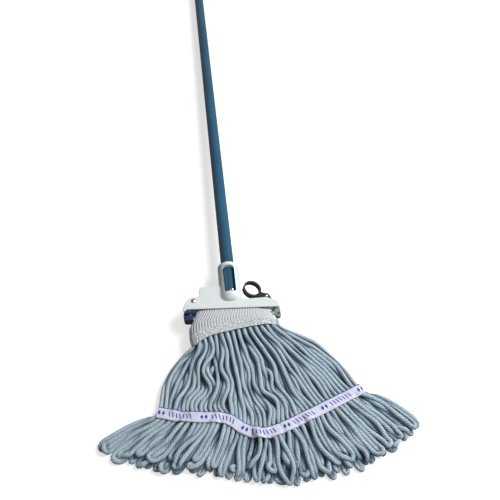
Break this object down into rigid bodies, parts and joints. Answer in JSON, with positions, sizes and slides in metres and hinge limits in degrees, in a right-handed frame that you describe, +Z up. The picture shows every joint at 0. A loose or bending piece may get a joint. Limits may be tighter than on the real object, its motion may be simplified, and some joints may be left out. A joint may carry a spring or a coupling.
{
  "type": "string mop",
  "caption": "String mop with a looped yarn head on a hinged gate bar, ribbed headband, sewn tail band, thumb-ring latch, white holder and painted tube handle.",
  "frame": {"origin": "on the floor below the middle of the gate bar, under the handle's axis, on the mop head's flat underside", "axes": "+Y along the handle towards its upper end, +Z up from the floor that the mop lies on, +X along the crossbar towards the latch"},
  "size_m": [0.5396, 1.7551, 0.0514],
  "materials": {
    "white_plastic": "satin injection moulding",
    "blue_paint": "gloss paint on steel tube",
    "navy_plastic": "moulded",
    "black_plastic": "moulded",
    "grey_plastic": "moulded",
    "steel": "zinc plated",
    "yarn": "plied yarn",
    "knit": "ribbed knit",
    "ribbon": "woven tape"
  },
  "bodies": {
    "frame": {"mop_frame": "white_plastic", "handle_tube": "blue_paint", "handle_foot_plug": "grey_plastic", "handle_screw": "steel", "top_cap": "navy_plastic", "gate_pivot_rivet": "steel", "gate_washers": "steel", "latch_pin": "steel", "latch_spring_washer": "steel"},
    "gate": {"gate_arm": "navy_plastic", "gate_bush": "steel", "gate_bar": "steel", "gate_catch": "steel", "gate_rivets": "steel", "headband": "knit", "yarn_upper_left": "yarn", "yarn_upper_middle": "yarn", "yarn_upper_right": "yarn", "tail_band_front": "ribbon", "tail_band_back": "ribbon", "yarn_loops_left": "yarn", "yarn_loops_middle": "yarn", "yarn_loops_right": "yarn"},
    "latch": {"latch_lever": "black_plastic", "latch_hook": "steel", "latch_hook_rivet": "steel"}
  },
  "joints": [
    {"name": "gate_hinge", "type": "hinge", "parent": "frame", "child": "gate", "pos_m": [-0.07, 0.0325, 0.029], "axis": [0, 0, -1], "range_deg": [0, 60]},
    {"name": "latch_pivot", "type": "hinge", "parent": "frame", "child": "latch", "pos_m": [0.066, 0.034, 0.029], "axis": [0, 0, -1], "range_deg": [0, 40]}
  ]
}
